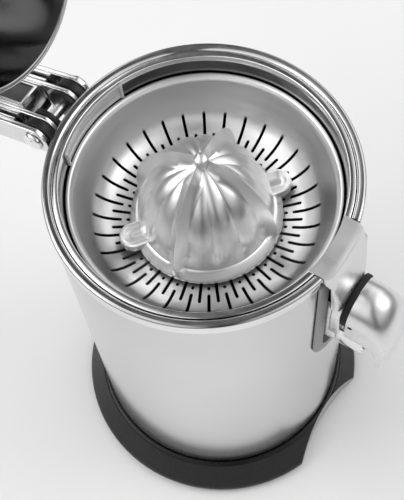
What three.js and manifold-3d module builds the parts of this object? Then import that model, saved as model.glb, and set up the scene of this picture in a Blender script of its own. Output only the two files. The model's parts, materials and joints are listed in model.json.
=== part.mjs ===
// A motor-driven citrus press: a brushed steel drum on a black base, a juice collector with a
// spout, a slotted strainer, a ribbed pressing cone, and a hinged cast arm that carries a dome.
// Millimetres, +Z up. The origin is on the drum's axis, on the underside of the base plate.
// The spout points along -Y and the arm's hinge is at +Y.
import * as THREE from 'three';
import { mergeVertices } from 'three/addons/utils/BufferGeometryUtils.js';
import Module from 'manifold-3d';

const wasm = await Module();
wasm.setup();

// ---- driving dimensions ----
const GAP = 0.35;              // running gap between neighbouring pieces
const ROUND = 40;              // facets round the drum
const SMALL_ROUND = 16;        // facets round pins and bosses
const RIM_TOP = 300;           // top of the drum's rim
const RIM_R = 90;              // outer radius of the rim
const RIM_HEIGHT = 9;
const RIM_INNER_R = 84.6;
const SHELL_R = 89;            // outer radius of the drum
const SHELL_WALL = 1.2;
const BASE_R = 105;            // outer radius of the base
const BASE_TOP = 26;
const LEDGE_TOP = 20;          // the drum stands on this step inside the base
const PLATE_THICK = 3;
const FOOT_DROP = 3;
const GLASS_CUT_R = 148;       // the base is cut back under the spout so that a glass stands close
const GLASS_CUT_Y = -91.5;
const SPOUT_GAP = 20;          // half width of the gap in the rim over the spout
const SLOT_HALF = 14.5;        // half width of the slot in the drum
const SLOT_ROUND_Z = 200;      // centre of the slot's round lower end
const TRIM_HALF = 22;
const INLET_R = 6.5;           // cord inlet at the rear
const INLET_Z = 42;
const DECK_TOP = 188;          // floor over the motor space
const SHAFT_R = 5;
const CONE_R = 45;
const CONE_BASE = 254;
const CONE_SKIRT_TOP = 260.5;
const CONE_TOP = 321;
const STRAINER_R = 78.4;
const STRAINER_Z = 285.5;
const HUB_Z = 248;             // top of the strainer's hub
const TROUGH_R = 13.3;         // outer radius of the spout's trough
const TROUGH_Z = 211;
const TROUGH_END = -114;
const HINGE_Y = 104;
const HINGE_Z = RIM_TOP - 18;
const OPEN_ANGLE = 108;        // degrees that the arm is swung back from closed
const DOME_R = 59.5;
const DOME_RIM_Z = RIM_TOP - 30;
const DOME_DEPTH = 81;
const DOME_WALL = 2;
const DOME_PIVOT_Z = 364;
const MODULE = 1.5;            // gear tooth module
const PINION_TEETH = 12;
const WHEEL_TEETH = 36;
const GEAR_CENTRES = (MODULE * (PINION_TEETH + WHEEL_TEETH)) / 2;

const group = new THREE.Group();

// ---- materials ----
function material(colour, roughness, metalness, opacity = 1) {
  return new THREE.MeshStandardMaterial({
    color: colour, roughness, metalness, opacity, transparent: opacity < 1,
  });
}
const brushedSteel = material('#c4c6c8', 0.35, 1);
const polishedSteel = material('#d4d6d8', 0.12, 1);
const castMetal = material('#d8dadb', 0.2, 1);
const steelPin = material('#b9bbbd', 0.3, 1);
const blackPlastic = material('#1b1b1d', 0.4, 0);
const rubber = material('#141414', 0.8, 0);
const clearPlastic = material('#dfe6e8', 0.08, 0, 0.35);
const whiteNylon = material('#e8e6df', 0.5, 0);
const greyPlastic = material('#7d8083', 0.5, 0);
const copper = material('#b5713c', 0.4, 1);

// ---- shape helpers ----
function signedVolume(positions, triangles) {
  let total = 0;
  const corner = [new THREE.Vector3(), new THREE.Vector3(), new THREE.Vector3()];
  for (let i = 0; i < triangles.length; i += 3) {
    corner.forEach((v, k) => v.fromArray(positions, triangles[i + k] * 3));
    total += corner[0].dot(corner[1].clone().cross(corner[2]));
  }
  return total;
}

// A closed three.js geometry as a solid that can be joined and cut.
function solid(geometry) {
  const bare = new THREE.BufferGeometry();
  bare.setAttribute('position', geometry.getAttribute('position'));
  if (geometry.index) bare.setIndex(geometry.index);
  const merged = mergeVertices(bare, 1e-4);
  const positions = Float32Array.from(merged.getAttribute('position').array);
  const kept = [];
  const index = merged.index.array;
  for (let i = 0; i < index.length; i += 3) {
    const [a, b, c] = [index[i], index[i + 1], index[i + 2]];
    if (a !== b && b !== c && c !== a) kept.push(a, b, c);
  }
  if (signedVolume(positions, kept) < 0) kept.reverse();
  return new wasm.Manifold(
    new wasm.Mesh({ numProp: 3, vertProperties: positions, triVerts: Uint32Array.from(kept) }));
}

function addPiece(name, shape, look, parent = group) {
  const data = shape.getMesh();
  const geometry = new THREE.BufferGeometry();
  const corners = [];
  for (let i = 0; i < data.vertProperties.length; i += data.numProp) {
    corners.push(...data.vertProperties.slice(i, i + 3));
  }
  geometry.setAttribute('position', new THREE.Float32BufferAttribute(corners, 3));
  geometry.setIndex(Array.from(data.triVerts));
  geometry.computeVertexNormals();
  const mesh = new THREE.Mesh(geometry, look);
  mesh.name = name;
  parent.add(mesh);
  return mesh;
}

// A closed outline of [radius, height] points turned about the Z axis.
function revolve(outline, segments = ROUND) {
  const points = outline.map(([r, z]) => new THREE.Vector2(r, z));
  points.push(points[0].clone());
  return solid(new THREE.LatheGeometry(points, segments).rotateX(Math.PI / 2));
}

function ring(inner, outer, low, high, segments = ROUND) {
  return revolve([[inner, low], [outer, low], [outer, high], [inner, high]], segments);
}

function disc(radius, low, high, segments = ROUND) {
  return revolve([[0, low], [radius, low], [radius, high], [0, high]], segments);
}

function shapeOf(outline) {
  return new THREE.Shape(outline.map(([x, y]) => new THREE.Vector2(x, y)));
}

// An outline in the XY plane, extruded from one height to another.
function slab(outline, low, high) {
  const options = { depth: high - low, bevelEnabled: false };
  return solid(new THREE.ExtrudeGeometry(shapeOf(outline), options).translate(0, 0, low));
}

// An outline of [y, z] points, extruded along X.
function plateX(outline, low, high) {
  const geometry = new THREE.ExtrudeGeometry(shapeOf(outline), {
    depth: high - low, bevelEnabled: false,
  });
  const turn = new THREE.Matrix4().set(0, 0, 1, low, 1, 0, 0, 0, 0, 1, 0, 0, 0, 0, 0, 1);
  return solid(geometry.applyMatrix4(turn));
}

// An outline of [x, z] points, extruded along Y.
function plateY(outline, low, high) {
  const geometry = new THREE.ExtrudeGeometry(shapeOf(outline), {
    depth: high - low, bevelEnabled: false,
  });
  const turn = new THREE.Matrix4().set(1, 0, 0, 0, 0, 0, -1, high, 0, 1, 0, 0, 0, 0, 0, 1);
  return solid(geometry.applyMatrix4(turn));
}

function box(low, high) {
  const size = high.map((v, i) => v - low[i]);
  const middle = high.map((v, i) => (v + low[i]) / 2);
  return solid(new THREE.BoxGeometry(...size).translate(...middle));
}

function rodX(radius, low, high, y, z, segments = SMALL_ROUND) {
  const rod = new THREE.CylinderGeometry(radius, radius, high - low, segments);
  return solid(rod.rotateZ(Math.PI / 2).translate((low + high) / 2, y, z));
}

function rodY(radius, low, high, x, z, segments = SMALL_ROUND) {
  const rod = new THREE.CylinderGeometry(radius, radius, high - low, segments);
  return solid(rod.translate(x, (low + high) / 2, z));
}

function post(radius, low, high, x = 0, y = 0, segments = SMALL_ROUND) {
  const rod = new THREE.CylinderGeometry(radius, radius, high - low, segments);
  return solid(rod.rotateX(Math.PI / 2).translate(x, y, (low + high) / 2));
}

// Points on an arc, from one angle to another in degrees.
function arc(x, y, radius, from, to, steps) {
  const points = [];
  for (let i = 0; i <= steps; i += 1) {
    const a = THREE.MathUtils.degToRad(from + ((to - from) * i) / steps);
    points.push([x + radius * Math.cos(a), y + radius * Math.sin(a)]);
  }
  return points;
}

function polar(radius, degrees) {
  const a = THREE.MathUtils.degToRad(degrees);
  return [radius * Math.cos(a), radius * Math.sin(a)];
}

// A ribbon of even width along a path of [y, z] points.
function ribbon(path, below, above) {
  const left = [];
  const right = [];
  path.forEach((p, i) => {
    const before = path[Math.max(i - 1, 0)];
    const after = path[Math.min(i + 1, path.length - 1)];
    const along = new THREE.Vector2(after[0] - before[0], after[1] - before[1]).normalize();
    left.push([p[0] - along.y * above, p[1] + along.x * above]);
    right.push([p[0] + along.y * below, p[1] - along.x * below]);
  });
  return [...right, ...left.reverse()];
}

// ---- base ----
function glassCut(extra) {
  return post(GLASS_CUT_R, -10, BASE_TOP + 10, 0, GLASS_CUT_Y + extra - GLASS_CUT_R, 60);
}

const PLATE_R = 98.1;
const PANEL_R = 60;            // raised panel under the plate
const PANEL_STEP = 0.6;
const BASE_LOW = 0.8;          // lower edge of the base's skirt
const SCREW_CIRCLE = 92;
const FOOT_CIRCLE = 78;
const screwAngles = [20, 130, 230, 340];
const footAngles = [45, 135, 225, 315];

function baseRing() {
  const plateEdge = PLATE_R + GAP;
  const innerR = 80;
  const outline = [
    [plateEdge, BASE_LOW], [BASE_R, BASE_LOW], [BASE_R, 4.5], [BASE_R - 1.5, 7.5], [RIM_R + 3.4, BASE_TOP - 2.4],
    [SHELL_R + 1.6, BASE_TOP], [SHELL_R + GAP, BASE_TOP], [SHELL_R + GAP, LEDGE_TOP], [innerR, LEDGE_TOP],
    [innerR, PLATE_THICK + GAP], [plateEdge, PLATE_THICK + GAP],
  ];
  let shape = revolve(outline).subtract(glassCut(0));
  for (const angle of screwAngles) {
    shape = shape.subtract(post(2, 0, 14, ...polar(SCREW_CIRCLE, angle)));
  }
  return shape;
}

// The plate's underside has a raised round panel in its middle, clear of the feet and screws.
function basePlate() {
  let shape = disc(PLATE_R, PANEL_STEP, PLATE_THICK).subtract(glassCut(2)).add(disc(PANEL_R, 0, PLATE_THICK - 1));
  for (const angle of screwAngles) {
    shape = shape.subtract(post(2, -1, PLATE_THICK + 1, ...polar(SCREW_CIRCLE, angle)));
  }
  return shape;
}

addPiece('base_ring', baseRing(), blackPlastic);
addPiece('base_plate', basePlate(), blackPlastic);

footAngles.forEach((angle, i) => {
  const seat = PANEL_STEP - GAP;
  const foot = revolve([[0, -FOOT_DROP], [8, -FOOT_DROP], [9.5, seat], [0, seat]], SMALL_ROUND);
  addPiece(`foot_${i + 1}`, foot.translate([...polar(FOOT_CIRCLE, angle), 0]), rubber);
});

screwAngles.forEach((angle, i) => {
  const seat = PANEL_STEP - GAP;
  const screw = revolve(
    [[0, seat - 1.6], [3.2, seat - 1.6], [3.4, seat], [1.65, seat], [1.65, 12.5], [0, 12.5]], SMALL_ROUND);
  addPiece(`base_screw_${i + 1}`, screw.translate([...polar(SCREW_CIRCLE, angle), 0]), steelPin);
});

// ---- drum ----
// The slot's outline in the XZ plane: straight sides, round below, open above.
function slotOutline(half, top) {
  return [[half, top], [-half, top], ...arc(0, SLOT_ROUND_Z, half, 180, 360, 12)];
}

function bodyShell() {
  const top = RIM_TOP - RIM_HEIGHT - GAP;
  const tube = ring(SHELL_R - SHELL_WALL, SHELL_R, LEDGE_TOP + GAP, top);
  const slot = plateY(slotOutline(SLOT_HALF + 3, RIM_TOP), -100, -70);
  const inletHole = rodY(INLET_R + GAP, 80, 100, 0, INLET_Z);
  const bracketHoles = [-14, 14].map((x) => rodY(2.2, 80, 100, x, HINGE_Z - 6));
  return tube.subtract(slot).subtract(inletHole).subtract(bracketHoles[0]).subtract(bracketHoles[1]);
}

function rimRing() {
  const foot = RIM_TOP - RIM_HEIGHT;
  const outline = [
    [RIM_INNER_R + 2, foot], [RIM_R, foot], [RIM_R, RIM_TOP - 2], [RIM_R - 1.4, RIM_TOP - 0.3],
    [RIM_R - 2.7, RIM_TOP], [RIM_INNER_R + 0.8, RIM_TOP - 0.8], [RIM_INNER_R, RIM_TOP - 3],
    [RIM_INNER_R, RIM_TOP - 7],
  ];
  return revolve(outline).subtract(box([-SPOUT_GAP, -100, foot - 5], [SPOUT_GAP, -60, RIM_TOP + 5]));
}

// The slot's trim is bent to the drum: a flange outside and a lip through the wall.
function slotTrim() {
  const top = RIM_TOP - RIM_HEIGHT - GAP;
  const flange = ring(SHELL_R + GAP, SHELL_R + 1.8, 150, top)
    .intersect(plateY(slotOutline(TRIM_HALF, RIM_TOP), -100, -60));
  const lip = ring(SHELL_R - 3.2, SHELL_R + 1, 150, top)
    .intersect(plateY(slotOutline(SLOT_HALF + 3 - GAP, RIM_TOP), -100, -60));
  return flange.add(lip).subtract(plateY(slotOutline(SLOT_HALF, RIM_TOP + 5), -110, -60));
}

addPiece('body_shell', bodyShell(), brushedSteel);
addPiece('rim_ring', rimRing(), polishedSteel);
addPiece('spout_slot_trim', slotTrim(), greyPlastic);

// ---- motor space ----
const COMPOUND_AXIS = polar(GEAR_CENTRES, 120);
const MOTOR_AXIS = [COMPOUND_AXIS[0] + GEAR_CENTRES, COMPOUND_AXIS[1]];
const GEARBOX_R = 69;
const GEARBOX_FLOOR = 82;
const GEARBOX_TOP = 118;
const LEVEL_A = 88;            // motor pinion and the compound gear's wheel
const LEVEL_B = 101;           // compound gear's pinion and the output wheel
const GEAR_FACE = 10;

// A spur gear's outline: short flat-topped teeth, thin enough to turn freely in mesh.
function gearOutline(teeth, phase = 0) {
  const pitchR = (MODULE * teeth) / 2;
  const step = (Math.PI * 2) / teeth;
  const outline = [];
  const corners = [[pitchR - 1.2 * MODULE, 0.26], [pitchR + 0.75 * MODULE, 0.1]];
  for (let i = 0; i < teeth; i += 1) {
    const middle = i * step + phase * step;
    corners.forEach(([r, half]) => outline.push([r, middle - half * step]));
    [...corners].reverse().forEach(([r, half]) => outline.push([r, middle + half * step]));
  }
  return outline.map(([r, a]) => [r * Math.cos(a), r * Math.sin(a)]);
}

// The phase, in teeth, that puts a gap of the driven gear opposite a tooth of its neighbour.
function meshPhase(teeth, towards, neighbourTeeth, neighbourPhase) {
  const here = (towards / 360) * teeth;
  const there = ((towards + 180) / 360) * neighbourTeeth - neighbourPhase;
  return here + there - 0.5;
}

const TO_COMPOUND = 120;
const outputPhase = 0;
const compoundPinionPhase = meshPhase(PINION_TEETH, TO_COMPOUND + 180, WHEEL_TEETH, outputPhase);
const compoundWheelPhase = 0;
const motorPhase = meshPhase(PINION_TEETH, 180, WHEEL_TEETH, compoundWheelPhase);

function at(shape, [x, y]) {
  return shape.translate([x, y, 0]);
}

function gearboxHousing() {
  const insideR = GEARBOX_R - 3;
  let shape = disc(GEARBOX_R, GEARBOX_FLOOR, GEARBOX_TOP - 4, 32)
    .subtract(disc(insideR, GEARBOX_FLOOR + 3, GEARBOX_TOP, 32));
  for (const angle of [60, 180, 300]) {
    const lug = box([insideR - 5, -9, GEARBOX_FLOOR], [86.5, 9, GEARBOX_FLOOR + 6]);
    shape = shape.add(lug.subtract(disc(insideR + 1, 0, 300, 32)).rotate([0, 0, angle]));
  }
  const centred = shape.subtract(disc(8.4, 0, 200, SMALL_ROUND));
  return centred
    .subtract(at(disc(3.4, 0, 200, SMALL_ROUND), COMPOUND_AXIS))
    .subtract(at(disc(12, 0, 200, SMALL_ROUND), MOTOR_AXIS));
}

function gearboxCover() {
  return disc(GEARBOX_R, GEARBOX_TOP - 4 + GAP, GEARBOX_TOP, 32)
    .add(ring(8.4, 14, GEARBOX_TOP - 1, GEARBOX_TOP + 12, 24))
    .subtract(disc(8.4, 0, 200, 24))
    .subtract(at(disc(3.4, 0, 200, SMALL_ROUND), COMPOUND_AXIS));
}

function motorStator() {
  const core = box([-27, -27, 26], [27, 27, 66]).intersect(disc(34, 0, 100, 24));
  return at(core.subtract(disc(17.5, 0, 100, 24)), MOTOR_AXIS);
}

function motorCoil(side) {
  const coil = box([-18, 20.5 * side - 4, 17.5], [18, 20.5 * side + 4, 26 - GAP]);
  return at(coil, MOTOR_AXIS);
}

function motorRotor() {
  const pinion = slab(gearOutline(PINION_TEETH, motorPhase), LEVEL_A, LEVEL_A + GEAR_FACE);
  return at(disc(16.8, 28, 64, 24)
    .add(disc(SHAFT_R - 1, 14.2, LEVEL_A + 1, SMALL_ROUND))
    .add(pinion), MOTOR_AXIS);
}

// A bearing bridge across one end of the motor, with two legs.
function motorBridge(low, high, legLow, legHigh) {
  const bore = 4.4;
  let bridge = box([-27, -7, low], [27, 7, high]).add(disc(12, low, high, SMALL_ROUND));
  for (const x of [-24, 24]) {
    bridge = bridge.add(box([x - 3, -5, legLow], [x + 3, 5, legHigh]));
  }
  return at(bridge.subtract(disc(bore, 0, 200, SMALL_ROUND)), MOTOR_AXIS);
}

function compoundGear() {
  const wheel = slab(gearOutline(WHEEL_TEETH, compoundWheelPhase), LEVEL_A + 1, LEVEL_A + 9);
  const pinion = slab(gearOutline(PINION_TEETH, compoundPinionPhase), LEVEL_A + 8, LEVEL_B + 11);
  return at(wheel.add(pinion).subtract(disc(3.3, 0, 200, SMALL_ROUND)), COMPOUND_AXIS);
}

function compoundPin() {
  return at(disc(3, GEARBOX_FLOOR - 2, GEARBOX_TOP + 1.5, SMALL_ROUND), COMPOUND_AXIS);
}

function outputGear() {
  return slab(gearOutline(WHEEL_TEETH, outputPhase), LEVEL_B + 1, LEVEL_B + 9)
    .add(disc(11, LEVEL_B - 2, LEVEL_B + 11, 24))
    .subtract(disc(SHAFT_R + GAP, 0, 200, SMALL_ROUND));
}

function driveShaft() {
  return revolve([
    [0, 78], [SHAFT_R - 1, 78], [SHAFT_R, 80], [SHAFT_R, 241], [SHAFT_R - 1.5, 246.5], [0, 246.5],
  ], SMALL_ROUND);
}

function shaftBush(low, high) {
  return ring(SHAFT_R + GAP, 8, low, high, SMALL_ROUND);
}

addPiece('gearbox_housing', gearboxHousing(), greyPlastic);
addPiece('gearbox_cover', gearboxCover(), greyPlastic);
addPiece('motor_stator', motorStator(), steelPin);
addPiece('motor_coil_front', motorCoil(-1), copper);
addPiece('motor_coil_rear', motorCoil(1), copper);
addPiece('motor_rotor', motorRotor(), steelPin);
addPiece('motor_bridge_lower', motorBridge(12, 17, 16, 26 - GAP), steelPin);
addPiece('motor_bridge_upper', motorBridge(66 + GAP, 72, 71, GEARBOX_FLOOR - GAP), steelPin);
addPiece('reduction_gear', compoundGear(), whiteNylon);
addPiece('reduction_gear_pin', compoundPin(), steelPin);
addPiece('output_gear', outputGear(), whiteNylon);
addPiece('drive_shaft', driveShaft(), steelPin);
addPiece('shaft_bush_lower', shaftBush(GEARBOX_FLOOR + 0.5, LEVEL_A + 0.5), copper);
addPiece('shaft_bush_upper', shaftBush(GEARBOX_TOP + 3, GEARBOX_TOP + 12), copper);

function innerDeck() {
  const outerR = SHELL_R - SHELL_WALL - GAP;
  const outline = [
    [11, DECK_TOP - 3], [outerR, DECK_TOP - 3], [outerR, DECK_TOP - 12], [outerR - 3, DECK_TOP - 12],
    [outerR - 3, DECK_TOP - 6], [11, DECK_TOP - 6],
  ];
  return revolve(outline)
    .add(ring(9.6, 13, DECK_TOP - 6, DECK_TOP + 9, 24))
    .subtract(disc(9.6, 0, 300, 24))
    .subtract(plateY(slotOutline(SLOT_HALF + 4, RIM_TOP), -100, -80));
}

addPiece('inner_deck', innerDeck(), blackPlastic);
addPiece('shaft_seal', ring(SHAFT_R + GAP, 9.2, DECK_TOP + 2, DECK_TOP + 8, SMALL_ROUND), rubber);

function microSwitch() {
  return box([-4, -14, 62], [4, 3.2, 73]).subtract(post(1.8, 68, 80));
}

function switchBracket() {
  const shelf = box([-8, -30, 58], [8, 2, 62 - GAP]);
  return shelf.add(box([-8, -30, PLATE_THICK + GAP], [8, -26, 60]));
}
addPiece('micro_switch', microSwitch(), rubber);
addPiece('switch_plunger', post(1.4, 69.5, 77.2), whiteNylon);
addPiece('switch_bracket', switchBracket(), steelPin);

function terminalBlock() {
  const floor = PLATE_THICK + GAP;
  let shape = box([-54, 38, floor], [-26, 52, floor + 12]);
  for (const x of [-48, -40, -32]) {
    shape = shape.subtract(post(2.2, floor + 6, 30, x, 45, 8));
  }
  return shape;
}
addPiece('terminal_block', terminalBlock(), whiteNylon);

function cordGland() {
  const stem = rodY(INLET_R, SHELL_R - 8, SHELL_R + 3, 0, INLET_Z);
  const flange = rodY(9.5, SHELL_R + 0.6, SHELL_R + 4, 0, INLET_Z);
  return stem.add(flange).subtract(rodY(3.6, SHELL_R - 20, SHELL_R + 20, 0, INLET_Z));
}
addPiece('cord_inlet_gland', cordGland(), rubber);

// ---- juice collector, with its neck and trough ----
const NOSE_HALF = 16;
const NOSE_TOP = 264;
const NOSE_WALL = 1.7;
const NOSE_FRONT = -131;
const NOSE_BACK = -102.4;
const NOSE_PIVOT = [-105.5, 245];

const COLLECTOR_R = RIM_INNER_R - GAP;
const COLLECTOR_WALL = 1.8;

function troughOutline(radius, top) {
  return [[radius, top], [-radius, top], ...arc(0, TROUGH_Z, radius, 180, 360, 12)];
}

function collectorOuter() {
  return revolve([
    [0, 197], [66, 200], [71, 206], [77.5, 276], [80.6, 281], [82.3, 296], [COLLECTOR_R, 297.6],
    [COLLECTOR_R, 299.2], [0, 299.2],
  ]);
}

function collectorInner() {
  const ledge = STRAINER_Z - 2.2;
  return revolve([
    [0, 199], [64, 202], [69, 207.5], [75.4, 276], [76, ledge - 1], [79.4, ledge], [80.4, 299.3],
    [80.4, 310], [0, 310],
  ]);
}

// The neck is a funnel in front of the drum: wide at the rim, as narrow as the trough below.
function neckOutline(inset) {
  const half = SPOUT_GAP - 0.6 - inset;
  const throat = TROUGH_R - inset;
  return [
    [half, 299.2], [-half, 299.2], [-half, 293], [-throat, 290.8],
    ...arc(0, TROUGH_Z, throat, 180, 360, 12), [throat, 290.8], [half, 293],
  ];
}

function juiceCollector() {
  const frontY = -99;
  const neck = plateY(neckOutline(0), frontY, -70)
    .subtract(plateX([[-90, 310], [-120, 310], [-120, 262], [-99, 262], [-94.5, 290], [-92.5, 300]], -30, 30));
  const hollow = plateY(neckOutline(COLLECTOR_WALL), frontY + COLLECTOR_WALL, -50)
    .subtract(plateX([[-88.5, 310], [-120, 310], [-120, 262], [-97.2, 262], [-92.5, 288], [-90, 300]], -30, 30));
  const trough = plateY(troughOutline(TROUGH_R, 232), TROUGH_END, -90);
  const channel = plateY(troughOutline(TROUGH_R - 1.5, 240), TROUGH_END - 5, -60);
  const collarR = NOSE_HALF + 0.2;
  const collar = plateY(
    [[collarR, 226], ...arc(0, NOSE_TOP - NOSE_HALF, collarR, 0, 180, 12), [-collarR, 226]], frontY, -92.5);
  const chimney = ring(7.2, 9.2, 190, 228, 24);
  const [pivotY, pivotZ] = NOSE_PIVOT;
  const lugSide = [[-98, pivotZ - 6], ...arc(pivotY, pivotZ, 3.8, 270, 90, 8), [-98, pivotZ + 6]];
  const lugs = plateX(lugSide, -12, -9).add(plateX(lugSide, 9, 12)).subtract(rodX(1.8, -20, 20, pivotY, pivotZ));
  return collectorOuter()
    .add(neck)
    .subtract(collectorInner())
    .add(trough)
    .add(collar)
    .subtract(hollow.intersect(box([-40, -110, 100], [40, -60, 296])))
    .subtract(channel)
    .add(lugs)
    .subtract(disc(14.6, 180, 204, 24))
    .add(ring(7.2, 16.8, 199.5, 204.5, 24))
    .add(chimney.subtract(disc(30, 180, 201, 24)))
    .subtract(disc(7.2, 100, 400, 24));
}

addPiece('juice_collector', juiceCollector(), polishedSteel);

// A clear section of the well's wall at the hinge side.
function clearInsert() {
  const wedge = slab([[0, 0], ...arc(0, 0, 100, 69, 111, 4)], 280, 300);
  const [low, high] = [STRAINER_Z + 0.8, 298.2];
  return revolve([[78.8, low], [79.3, low], [79.95, high], [78.8, high]]).intersect(wedge);
}
addPiece('well_window', clearInsert(), clearPlastic);

// ---- drip-stop nose on the trough ----
// Side outline of the nose in [y, z]: level on top, a round front, and a lip that ends low.
function noseSide(inset) {
  return [
    [NOSE_BACK, 300], [NOSE_BACK, 230], [-124 + inset, 230], [-124 + inset, 206],
    [NOSE_FRONT + 3 + inset, 204.5], [NOSE_FRONT + inset, 216], [NOSE_FRONT + inset, 238],
    [NOSE_FRONT + 3 + inset, 250], [NOSE_FRONT + 10 + inset, 260 - inset], [-112, 264.5 - inset],
    [-112, 300],
  ];
}

function spoutNose() {
  const low = [[NOSE_HALF, 203], ...arc(0, NOSE_TOP - NOSE_HALF, NOSE_HALF, 0, 180, 12), [-NOSE_HALF, 203]];
  const innerHalf = NOSE_HALF - NOSE_WALL;
  const cave = [
    [innerHalf, 180], ...arc(0, NOSE_TOP - NOSE_HALF, innerHalf, 0, 180, 12), [-innerHalf, 180],
  ];
  const hollow = plateY(cave, NOSE_FRONT - 10, NOSE_BACK + 10)
    .intersect(plateX(noseSide(NOSE_WALL), -40, 40).add(
      box([-40, -125.5, 150], [40, NOSE_BACK + 10, 231])));
  return plateY(low, NOSE_FRONT - 10, NOSE_BACK)
    .intersect(plateX(noseSide(0), -40, 40))
    .subtract(hollow)
    .subtract(rodX(1.8, -30, 30, ...NOSE_PIVOT));
}

// The seal is an arch between the neck and the nose, above the nose's pivot.
function spoutSeal() {
  const outer = [[17, 246], ...arc(0, NOSE_TOP - NOSE_HALF, 17, 0, 180, 12), [-17, 246]];
  const inner = [[13, 220], ...arc(0, NOSE_TOP - NOSE_HALF, 13, 0, 180, 12), [-13, 220]];
  return plateY(outer, -102, -99.4).subtract(plateY(inner, -110, -90));
}

addPiece('spout_nose', spoutNose(), polishedSteel);
addPiece('spout_seal', spoutSeal(), rubber);
addPiece('nose_pin', rodX(1.5, -NOSE_HALF, NOSE_HALF, ...NOSE_PIVOT), steelPin);

// ---- strainer ----
const SLOT_POSITIONS = 32;
const SLOT_WIDTH = 1.7;
const SLOT_FROM = 44;
const SLOT_TO = 67;

function strainer() {
  const upper = [
    [STRAINER_R, STRAINER_Z], [75.4, STRAINER_Z - 0.5], [73.4, 277], [70.6, 268], [66.8, 259.5],
    [62, 254.2], [55, 252], [12.2, HUB_Z - 0.6],
  ];
  const lower = upper.map(([r, z], index) => [r + (index ? 0.3 : 0), z - 1.3]);
  let shape = revolve([...upper, ...lower.reverse()], 32).add(ring(10.2, 12.9, HUB_Z - 10, HUB_Z, 16));
  for (let i = 0; i < SLOT_POSITIONS; i += 1) {
    const cutter = box([SLOT_FROM, -SLOT_WIDTH / 2, HUB_Z - 10], [SLOT_TO, SLOT_WIDTH / 2, STRAINER_Z]);
    shape = shape.subtract(cutter.rotate([0, 0, (360 / SLOT_POSITIONS) * i]));
  }
  return shape;
}
addPiece('strainer', strainer(), brushedSteel);

// ---- cone ----
addPiece('cone_glide_ring', ring(8.6, 12.4, HUB_Z + 0.4, HUB_Z + 2.2, 24), whiteNylon);

function coneProfile(inset) {
  const points = [];
  const steps = 5;
  const height = CONE_TOP - CONE_SKIRT_TOP - 6 - inset;
  const wide = CONE_R - 4.5 - inset;
  for (let i = 0; i <= steps; i += 1) {
    const a = (i / steps) * (Math.PI / 2);
    const r = wide * Math.cos(a) ** 1.15;
    points.push([i === steps ? 0 : r, CONE_SKIRT_TOP + 1.5 + height * Math.sin(a) ** 1.05]);
  }
  return points;
}

// One of the four fins: its edge runs from the skirt up to the tip.
function coneFin(angle) {
  const edge = [];
  const steps = 5;
  for (let i = 0; i <= steps; i += 1) {
    const a = (i / steps) * (Math.PI / 2);
    edge.push([44 * Math.cos(a) ** 0.95, CONE_SKIRT_TOP + (CONE_TOP - CONE_SKIRT_TOP) * Math.sin(a) ** 1.1]);
  }
  const outline = [[0, CONE_SKIRT_TOP], ...edge];
  outline[outline.length - 1][0] = 0;
  return plateY(outline, -1.5, 1.5).rotate([0, 0, angle]);
}

const EAR_ANGLES = [-36, 144];
const FIN_ANGLES = [-171, -81, 9, 99];

function cone() {
  const skirt = revolve([
    [0, CONE_BASE], [CONE_R, CONE_BASE], [CONE_R, CONE_SKIRT_TOP - 4], [CONE_R - 4, CONE_SKIRT_TOP + 1.6],
    [0, CONE_SKIRT_TOP + 1.6],
  ], 32);
  let shape = revolve([[0, CONE_SKIRT_TOP], ...coneProfile(0)], 32).add(skirt);
  FIN_ANGLES.forEach((angle) => {
    shape = shape.add(coneFin(angle));
  });
  EAR_ANGLES.forEach((angle) => {
    const ear = post(8, CONE_SKIRT_TOP - 3.4, CONE_SKIRT_TOP + 4.4, ...polar(CONE_R + 0.5, angle));
    shape = shape.add(ear);
  });
  const hollow = revolve([[0, CONE_BASE - 1], [40, CONE_BASE - 1], [39.5, CONE_SKIRT_TOP], ...coneProfile(3.6)], 20);
  return shape
    .subtract(hollow)
    .add(ring(8.6, 11.6, CONE_BASE + 0.5, CONE_TOP - 10.6, SMALL_ROUND));
}

function coneSocket() {
  const [low, high] = [HUB_Z + 2.6, CONE_TOP - 29];
  return ring(SHAFT_R + 0.6, 8.25, low, high, 16).add(disc(8.25, high - 4, high, 16))
    .add(ring(8, 11.2, low, low + 3, 24).subtract(disc(8.1, 0, 400, 16)));
}

addPiece('cone', cone(), castMetal);
addPiece('cone_socket', coneSocket(), blackPlastic);

// ---- hinge at the rear ----
const CHEEK_OUT = 22.5;
const CHEEK_IN = 19;
const RIB_OUT = 12.5;
const RIB_IN = 9.5;
const CORE_HALF = 5.5;
const KNUCKLE_R = 10;
const KNUCKLES = [[6, 9], [13, 18.5]];

function hingeBracket() {
  const foot = box([-22, 80, HINGE_Z - 26], [22, HINGE_Y - 12.4, HINGE_Z + 4])
    .subtract(disc(SHELL_R + GAP, 0, 400));
  let shape = foot.subtract(disc(RIM_R + GAP, RIM_TOP - RIM_HEIGHT - 1, 400));
  const sides = KNUCKLES.flatMap(([low, high]) => [[low, high], [-high, -low]]);
  for (const [low, high] of sides) {
    const plate = plateX([
      [HINGE_Y - 14, HINGE_Z - 26], [HINGE_Y - 4, HINGE_Z - 18],
      ...arc(HINGE_Y, HINGE_Z, KNUCKLE_R, -50, 130, 10), [HINGE_Y - 14, HINGE_Z + 4],
    ], low, high);
    shape = shape.add(plate);
  }
  shape = shape.subtract(disc(SHELL_R + GAP, 0, RIM_TOP)).subtract(rodX(4.2, -40, 40, HINGE_Y, HINGE_Z));
  for (const x of [-14, 14]) {
    shape = shape.subtract(rodY(2.2, 70, 99, x, HINGE_Z - 6));
  }
  return shape;
}
addPiece('hinge_bracket', hingeBracket(), blackPlastic);

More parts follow.
